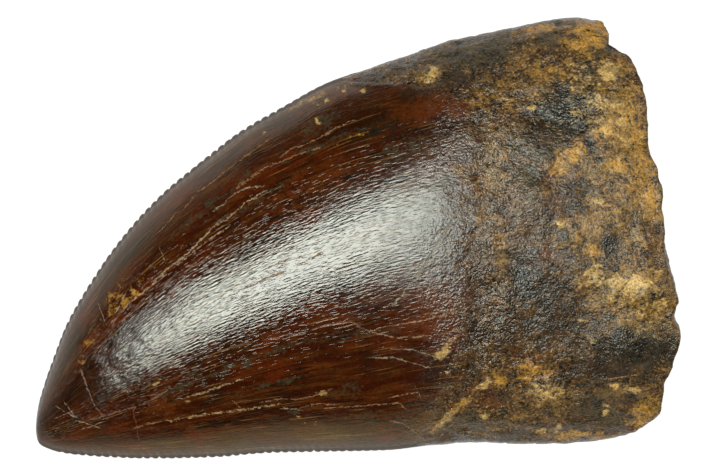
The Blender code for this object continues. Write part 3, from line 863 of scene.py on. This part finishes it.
class Paint:
    """Adds nodes to a tree. Each step takes and gives sockets or plain values."""

    def __init__(self, tree):
        self.tree = tree

    def put(self, socket, value):
        if isinstance(value, bpy.types.NodeSocket):
            self.tree.links.new(value, socket)
        else:
            socket.default_value = value

    def add(self, kind, inputs, **settings):
        node = self.tree.nodes.new(kind)
        for name, value in settings.items():
            setattr(node, name, value)
        for key, value in inputs.items():
            self.put(node.inputs[key], value)
        return node

    def math(self, operation, first, second=0.0):
        return self.add("ShaderNodeMath", {0: first, 1: second}, operation=operation).outputs[0]

    def plus(self, total, *terms):
        for term in terms:
            total = self.math("ADD", total, term)
        return total

    def times(self, product, *factors):
        for factor in factors:
            product = self.math("MULTIPLY", product, factor)
        return product

    def spread(self, value, start, end, low=0.0, high=1.0):
        """A smooth way from low to high while the value goes from start to end."""
        inputs = {"Value": value, "From Min": start, "From Max": end, "To Min": low, "To Max": high}
        return self.add("ShaderNodeMapRange", inputs, interpolation_type="SMOOTHSTEP").outputs[0]

    def sway(self, noise, amount, half=0.2):
        """From -amount to amount while a noise goes from its usual low, 0.5 - half, to its high."""
        return self.spread(noise, 0.5 - half, 0.5 + half, -amount, amount)

    def mix(self, share, first, second):
        node = self.add("ShaderNodeMix", {}, data_type="RGBA")
        for index, value in ((0, share), (6, first), (7, second)):
            self.put(node.inputs[index], value)
        return node.outputs[2]

    def wash(self, colour, name, noise, start, end, cover=1.0):
        """Lays a named colour over another where a noise rises from start to end."""
        return self.mix(self.spread(noise, start, end, 0, cover), colour, seen_colour(name))

    def blend(self, share, first, second):
        """The way from one number to another."""
        inputs = {0: share, 2: first, 3: second}
        return self.add("ShaderNodeMix", inputs, data_type="FLOAT").outputs[0]

    def scaled(self, colour, factor):
        inputs = {0: colour, 3: factor}
        return self.add("ShaderNodeVectorMath", inputs, operation="SCALE").outputs[0]

    def attribute(self, name):
        """The three numbers of an attribute, apart, and the whole of it."""
        node = self.add("ShaderNodeAttribute", {}, attribute_name=name)
        parts = self.add("ShaderNodeSeparateXYZ", {0: node.outputs["Vector"]})
        return parts.outputs[0], parts.outputs[1], parts.outputs[2], node.outputs["Vector"]

    def noise_node(self, place, name):
        sizes, detail, roughness = NOISES[name]
        lumps = {0: place, 1: tuple(1 / size for size in sizes)}
        scaled = self.add("ShaderNodeVectorMath", lumps, operation="MULTIPLY").outputs[0]
        inputs = {"Vector": scaled, "Scale": 1.0, "Detail": detail, "Roughness": roughness}
        return self.add("ShaderNodeTexNoise", inputs)

    def noise(self, place, name):
        """One of the noises at a place, from 0 to 1."""
        return self.noise_node(place, name).outputs["Fac"]

    def noises(self, place, name):
        """Three different ones with lumps of the same sizes."""
        node = self.noise_node(place, name)
        return self.add("ShaderNodeSeparateColor", {0: node.outputs["Color"]}).outputs[:3]


def new_material(name):
    """A material, the painter of its nodes, and the inputs of its shader."""
    material = bpy.data.materials.new(name)
    material.use_nodes = True
    return material, Paint(material.node_tree), material.node_tree.nodes["Principled BSDF"].inputs


class Ground:
    """What the layers of the fossil's material share: where on it they are, and its noises."""

    def __init__(self, paint):
        self.keen, self.slit, self.on_break = paint.attribute("edge")[:3]
        self.past_enamel = paint.attribute("past_enamel")[0]
        self.place = paint.attribute("place")[3]
        growth = paint.attribute("growth")
        self.growth = growth[3]
        off_ridge = paint.math("SUBTRACT", growth[1], RIDGE * GROWTH_WIDTH)
        self.off_ridge = paint.math("ABSOLUTE", off_ridge)
        self.stains = {}
        for group, names in STAIN_GROUPS.items():
            self.stains.update(zip(names, paint.attribute(group)))
        self.coarse = paint.noises(self.place, "coarse")
        self.fine = paint.noises(self.place, "fine")
        self.patches = paint.noise(self.place, "patches")
        self.lumps = paint.noise(self.place, "lumps")
        self.grains = paint.noise(self.place, "grains")
        self.waver = paint.noises(self.place, "waver")
        self.find_parts(paint)

    def find_parts(self, paint):
        """From 0 to 1: the root, the break, both, the grainy ground, the ridge and the saw edges."""
        ragged = paint.sway(self.coarse[0], 1.5, 0.25), paint.sway(self.fine[1], 0.5, 0.25)
        self.root = paint.spread(paint.plus(self.past_enamel, *ragged), *ROOT_START)
        ragged_rim = paint.plus(self.on_break, paint.sway(self.coarse[2], 0.04))
        self.broken = paint.spread(ragged_rim, *RIM)
        self.rough = paint.math("MAXIMUM", self.root, self.broken)
        granular = paint.spread(self.past_enamel, *GRANULAR, 0, 0.85)
        self.granular = paint.math("MAXIMUM", self.rough, granular)
        self.ridge = paint.spread(self.off_ridge, *WRINKLED_RIDGE, 1, 0.4)
        on_enamel = paint.spread(self.root, 0, 1, 1, 0)
        self.saw = paint.times(paint.spread(self.keen, 0.2, 0.9), on_enamel)


def enamel_colour(paint, ground):
    """Dark red-brown with warmer streaks along the growth, sooty clouds and olive margins, and painted
    shade along the ridge, under the highlight.
    """
    growth = ground.growth
    streaks = paint.noise(growth, "streaks")
    clouds = paint.noises(growth, "clouds")
    colour = paint.wash(seen_colour("red brown"), "warm streak", streaks, 0.42, 0.68)
    colour = paint.wash(colour, "dark cloud", clouds[0], 0.45, 0.7, 0.7)
    colour = paint.wash(colour, "russet cloud", clouds[1], 0.5, 0.72, 0.7)
    dark = paint.spread(paint.noise(growth, "threads"), 0.54, 0.66)
    dark = paint.times(dark, paint.spread(clouds[2], 0.4, 0.6))
    colour = paint.mix(dark, colour, seen_colour("dark thread"))
    pale = paint.spread(paint.noise(growth, "pale threads"), 0.62, 0.72, 0, 0.6)
    pale = paint.times(pale, paint.spread(clouds[0], 0.42, 0.6))
    colour = paint.mix(pale, colour, seen_colour("pale thread"))
    # Painted shade: the enamel's own colour is darkened along the ridge, under the highlight
    colour = paint.scaled(colour, paint.spread(ground.off_ridge, *PAINTED_SHADE_RIDGE, 0.55, 1))
    margin = paint.spread(ground.off_ridge, *MARGIN)
    margin = paint.times(margin, paint.spread(clouds[1], 0.3, 0.6, 0.55, 0.2))
    return paint.mix(margin, colour, seen_colour("olive margin"))


def root_colour(paint, ground):
    """Olive, red and dark brown, mottled."""
    mottles = paint.noises(ground.place, "mottles")
    specks = paint.noises(ground.place, "specks")
    colour = paint.wash(seen_colour("root brown"), "root olive", mottles[0], 0.38, 0.6)
    colour = paint.wash(colour, "root red", mottles[1], 0.5, 0.66, 0.8)
    colour = paint.wash(colour, "root dark", mottles[2], 0.52, 0.66, 0.8)
    colour = paint.wash(colour, "root tan", ground.coarse[1], 0.52, 0.66, 0.5)
    colour = paint.wash(colour, "dark speck", specks[0], 0.53, 0.62, 0.8)
    return paint.wash(colour, "pale speck", specks[1], 0.54, 0.64, 0.75)


def break_colour(paint, ground):
    """Hard yellow sand inside a rim of brown dentine."""
    grains = paint.noises(ground.place, "broken sand")
    sand = paint.wash(seen_colour("dark sand"), "light sand", grains[0], 0.4, 0.62)
    dentine = paint.wash(seen_colour("dark dentine"), "light dentine", grains[1], 0.4, 0.6)
    edge = paint.plus(ground.on_break, paint.times(grains[2], 0.2))
    return paint.mix(paint.spread(edge, 0.3, 0.5), dentine, sand)


def stained(paint, ground, colour):
    """Lays the stains over the colour, with the painted sheen and shadow among them. Noise eats their
    edges, and grains show through them.
    """
    for k, (name, cover) in enumerate(STAIN_COVERS.items()):
        amount = ground.stains[name]
        grit = paint.plus(paint.times(ground.coarse[k % 3], 1.5), ground.fine[(k + 1) % 3])
        there = paint.spread(amount, *STAIN_THERE, 0, cover)
        share = paint.times(paint.spread(paint.plus(amount, grit), *STAIN_REACH), there)
        colour = paint.mix(share, colour, seen_colour(name))
    return colour


def crack_share(paint, ground, name):
    """Where a set's cracks are, and what fills them. They waver and are broken into grains."""
    across, far, fill = paint.attribute(name)[:3]
    waver, fine = ground.waver, ground.fine
    shift = paint.plus(paint.sway(waver[0], 0.35), paint.sway(fine[0], 0.4, 0.15))
    from_middle = paint.math("ABSOLUTE", paint.plus(across, shift))
    width = paint.spread(waver[1], 0.35, 0.65, 0.35, 1.0)
    line = paint.spread(paint.math("DIVIDE", from_middle, width), 0.3, 1.2, 1, 0)
    near = paint.spread(far, *CRACK_REACH, 1, 0)
    grainy = paint.spread(fine[2], 0.36, 0.5, 0.1, 1)
    there = paint.times(paint.spread(waver[2], 0.32, 0.42, 0.4, 1), grainy)
    return paint.times(line, near, there), fill


def crack_colour(paint, fill, fleck):
    """The scale from dark dirt to white chalk, with gaps."""
    colour = paint.wash(seen_colour("dirt fill"), "rusty fill", fill, 0.05, RUSTY)
    colour = paint.wash(colour, "gold fill", fill, RUSTY, GOLD)
    colour = paint.wash(colour, "cream fill", fill, GOLD, CREAM)
    colour = paint.wash(colour, "chalk fill", fill, CREAM, CHALK)
    return paint.wash(colour, "gap in fill", fleck, 0.42, 0.62, 0.7)


def cracked_colour(paint, ground, colour):
    """Lays all cracks over the colour. Also gives where they are."""
    cracked = 0.0
    for k in range(CRACK_SETS):
        share, fill = crack_share(paint, ground, f"cracks_{k}")
        cover = paint.times(share, CRACK_COVER)
        colour = paint.mix(cover, colour, crack_colour(paint, fill, ground.fine[1]))
        cracked = paint.math("MAXIMUM", cracked, share)
    return colour, cracked


def grained(paint, ground, colour):
    """Lighter and darker grains. On the root and the break the hollows are darker: partly dirt, partly
    painted shade.
    """
    amount = paint.spread(ground.rough, 0, 1, 0.4, 0.5)
    shade = paint.times(paint.sway(ground.fine[2], 0.5, 0.15), amount)
    # Partly painted shade: darker where the lumps and grains of the bump are low; the patches are tone at
    # random
    hollow = paint.spread(ground.lumps, 0.3, 0.5, -0.4, 0.05)
    hollow = paint.plus(hollow, paint.spread(ground.grains, 0.34, 0.6, -0.4, 0.15))
    hollow = paint.plus(hollow, paint.sway(ground.patches, 0.3, 0.15))
    shade = paint.plus(shade, paint.times(hollow, ground.rough), 1.0)
    return paint.scaled(colour, shade)


def fossil_roughness(paint, ground, cracked):
    """Glossy enamel, duller where it runs out. The root gets duller still towards the break."""
    coarse, fine = ground.coarse, ground.fine
    worn = paint.plus(ground.past_enamel, paint.sway(coarse[0], 0.9), paint.sway(fine[1], 0.7))
    rubbed = paint.times(paint.spread(worn, *RUBBED, 0, 0.18), ground.ridge)
    enamel = paint.plus(paint.spread(coarse[1], 0.3, 0.7, 0.1, 0.14), rubbed)
    enamel = paint.blend(paint.spread(worn, *WORN), enamel, WORN_ROUGHNESS)
    root = paint.spread(ground.past_enamel, *ROOT_DULLING, 0.22, 0.36)
    root = paint.plus(root, paint.spread(ground.stains["soot"], 0.3, 0.8, 0, -0.06))
    root = paint.plus(root, paint.spread(fine[0], 0.35, 0.65, -0.06, 0.12))
    rough = paint.blend(ground.rough, enamel, root)
    rough = paint.blend(cracked, rough, CRACK_ROUGHNESS)
    return paint.blend(ground.saw, rough, SAW_ROUGHNESS)


def fossil_bump(paint, ground, cracked):
    """Wrinkles along the enamel, deepest on its ridge; lumps and grains on the root; grooves."""
    wrinkle = paint.noise(ground.growth, "wrinkles")
    groove = paint.spread(paint.noise(ground.growth, "grooves"), 0.36, 0.45)
    line = paint.noise(ground.growth, "lines")
    enamel = paint.times(wrinkle, WRINKLE_BUMP, ground.ridge)
    enamel = paint.plus(enamel, paint.times(groove, GROOVE_BUMP), paint.times(line, LINE_BUMP))
    root = paint.plus(paint.times(ground.grains, GRAIN_BUMP), paint.times(ground.lumps, LUMP_BUMP))
    root = paint.plus(root, paint.times(ground.stains["bone"], BONE_BUMP))
    height = paint.blend(ground.granular, enamel, root)
    height = paint.math("SUBTRACT", height, paint.times(cracked, CRACK_DEPTH))
    inputs = {"Strength": 1.0, "Distance": MM, "Height": height}
    return paint.add("ShaderNodeBump", inputs).outputs[0]


def fossil_material(name, bending):
    """The whole fossil's looks, with light bent as much as in enamel or in the root."""
    material, paint, shader = new_material(name)
    ground = Ground(paint)
    colour = paint.mix(ground.root, enamel_colour(paint, ground), root_colour(paint, ground))
    colour = stained(paint, ground, colour)
    colour = paint.mix(ground.broken, colour, break_colour(paint, ground))
    colour = grained(paint, ground, colour)
    colour, cracked = cracked_colour(paint, ground, colour)
    colour = paint.mix(paint.times(ground.saw, 0.7), colour, seen_colour("saw edge"))
    colour = paint.wash(colour, "slit", ground.slit, 0.2, 0.8, 0.6)
    paint.put(shader["Base Color"], colour)
    paint.put(shader["Roughness"], fossil_roughness(paint, ground, cracked))
    paint.put(shader["Normal"], fossil_bump(paint, ground, cracked))
    paint.put(shader["IOR"], bending)
    paint.put(shader["Specular Tint"], GLOSS_TINT)
    return material


def on_root_faces(skin, mesh):
    """1 for faces past the end of the enamel, 0 for the enamel's."""
    starts = np.zeros(len(mesh.polygons), np.int32)
    mesh.polygons.foreach_get("loop_start", starts)
    corners = np.zeros(len(mesh.loops), np.int32)
    mesh.loops.foreach_get("vertex_index", corners)
    past = skin.past_enamel + relief(skin.points, "material line")
    return (past[corners[starts]] > 0).astype(np.int32)


def add_tooth():
    skin = Skin(Tooth())
    mesh = tooth_mesh(skin)
    add_layers(mesh, skin)
    piece = bpy.data.objects.new("fossil_tooth", mesh)
    bpy.context.scene.collection.objects.link(piece)
    piece.data.materials.append(fossil_material("enamel", ENAMEL_IOR))
    piece.data.materials.append(fossil_material("root", ROOT_IOR))
    mesh.polygons.foreach_set("material_index", on_root_faces(skin, mesh))
    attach(piece, "root")
    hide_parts("tooth")


def add_floor():
    """A pale floor that gives light of its own, so that it is as even as in the photograph."""
    bpy.ops.mesh.primitive_plane_add(size=FLOOR_SIZE)
    floor = bpy.context.object
    floor.name = "floor"
    material, paint, shader = new_material("floor")
    paint.put(shader["Base Color"], (*FLOOR_COLOUR, 1))
    paint.put(shader["Roughness"], FLOOR_ROUGHNESS)
    paint.put(shader["Emission Color"], (*FLOOR_TINT, 1))
    paint.put(shader["Emission Strength"], FLOOR_GLOW)
    floor.data.materials.append(material)


def add_light(name, power, place, turn):
    light = bpy.data.lights.new(name, "AREA")
    light.energy = power
    lamp = bpy.data.objects.new(name, light)
    lamp.location = place
    lamp.rotation_euler = turn
    bpy.context.scene.collection.objects.link(lamp)
    return light


def add_softbox():
    """A soft light above the tip, turned so that its reflection runs along the ridge."""
    turn = (0, 0, math.radians(SOFTBOX_TURN))
    light = add_light("softbox", SOFTBOX_POWER, SOFTBOX_PLACE, turn)
    light.shape = "RECTANGLE"
    light.size, light.size_y = SOFTBOX_SIZE
    light.color = SOFTBOX_TINT


def add_fill():
    """A weak light from beyond the broken end, too low to be mirrored in the enamel."""
    turn = Vector(FILL_PLACE).to_track_quat("Z", "Y").to_euler()
    add_light("fill", FILL_POWER, FILL_PLACE, turn).size = FILL_SIZE


def add_world():
    """A dark room over a pale horizon, brightest towards the tip and the back edge."""
    world = bpy.data.worlds.new("studio")
    bpy.context.scene.world = world
    world.use_nodes = True
    room = Paint(world.node_tree)
    place = room.add("ShaderNodeTexCoord", {}).outputs["Generated"]
    x, y, z = room.add("ShaderNodeSeparateXYZ", {0: place}).outputs
    towards = room.times(room.plus(x, room.times(y, HORIZON_LEAN)), -1)
    dimmest = DARK_SIDE * HORIZON_LIGHT
    horizon = room.spread(towards, *HORIZON_BRIGHTENS, dimmest, HORIZON_LIGHT)
    strength = room.blend(room.spread(z, *HORIZON_HEIGHT), horizon, ZENITH_LIGHT)
    background = world.node_tree.nodes["Background"]
    room.put(background.inputs["Strength"], strength)
    room.put(background.inputs["Color"], (*ROOM_TINT, 1))


def add_camera():
    """Looks straight down, so that the tooth's middle plane is seen at the photograph's scale."""
    camera = bpy.data.cameras.new("camera")
    camera.lens = LENS
    camera.sensor_width = SENSOR
    camera.clip_start = CLIP_START
    view = bpy.data.objects.new("camera", camera)
    off_x = (PHOTO_WIDTH / 2 - OUTLINE_MIDDLE[0]) / PIXELS_PER_MM
    off_y = (OUTLINE_MIDDLE[1] - PHOTO_HEIGHT / 2) / PIXELS_PER_MM
    height = REST_HEIGHT + PHOTO_WIDTH / PIXELS_PER_MM * LENS / SENSOR
    view.location = (off_x * MM, off_y * MM, height * MM)
    bpy.context.scene.collection.objects.link(view)
    bpy.context.scene.camera = view


add_camera()
add_softbox()
add_fill()
add_world()
add_floor()
add_tooth()
bpy.context.scene.view_settings.view_transform = "Standard"
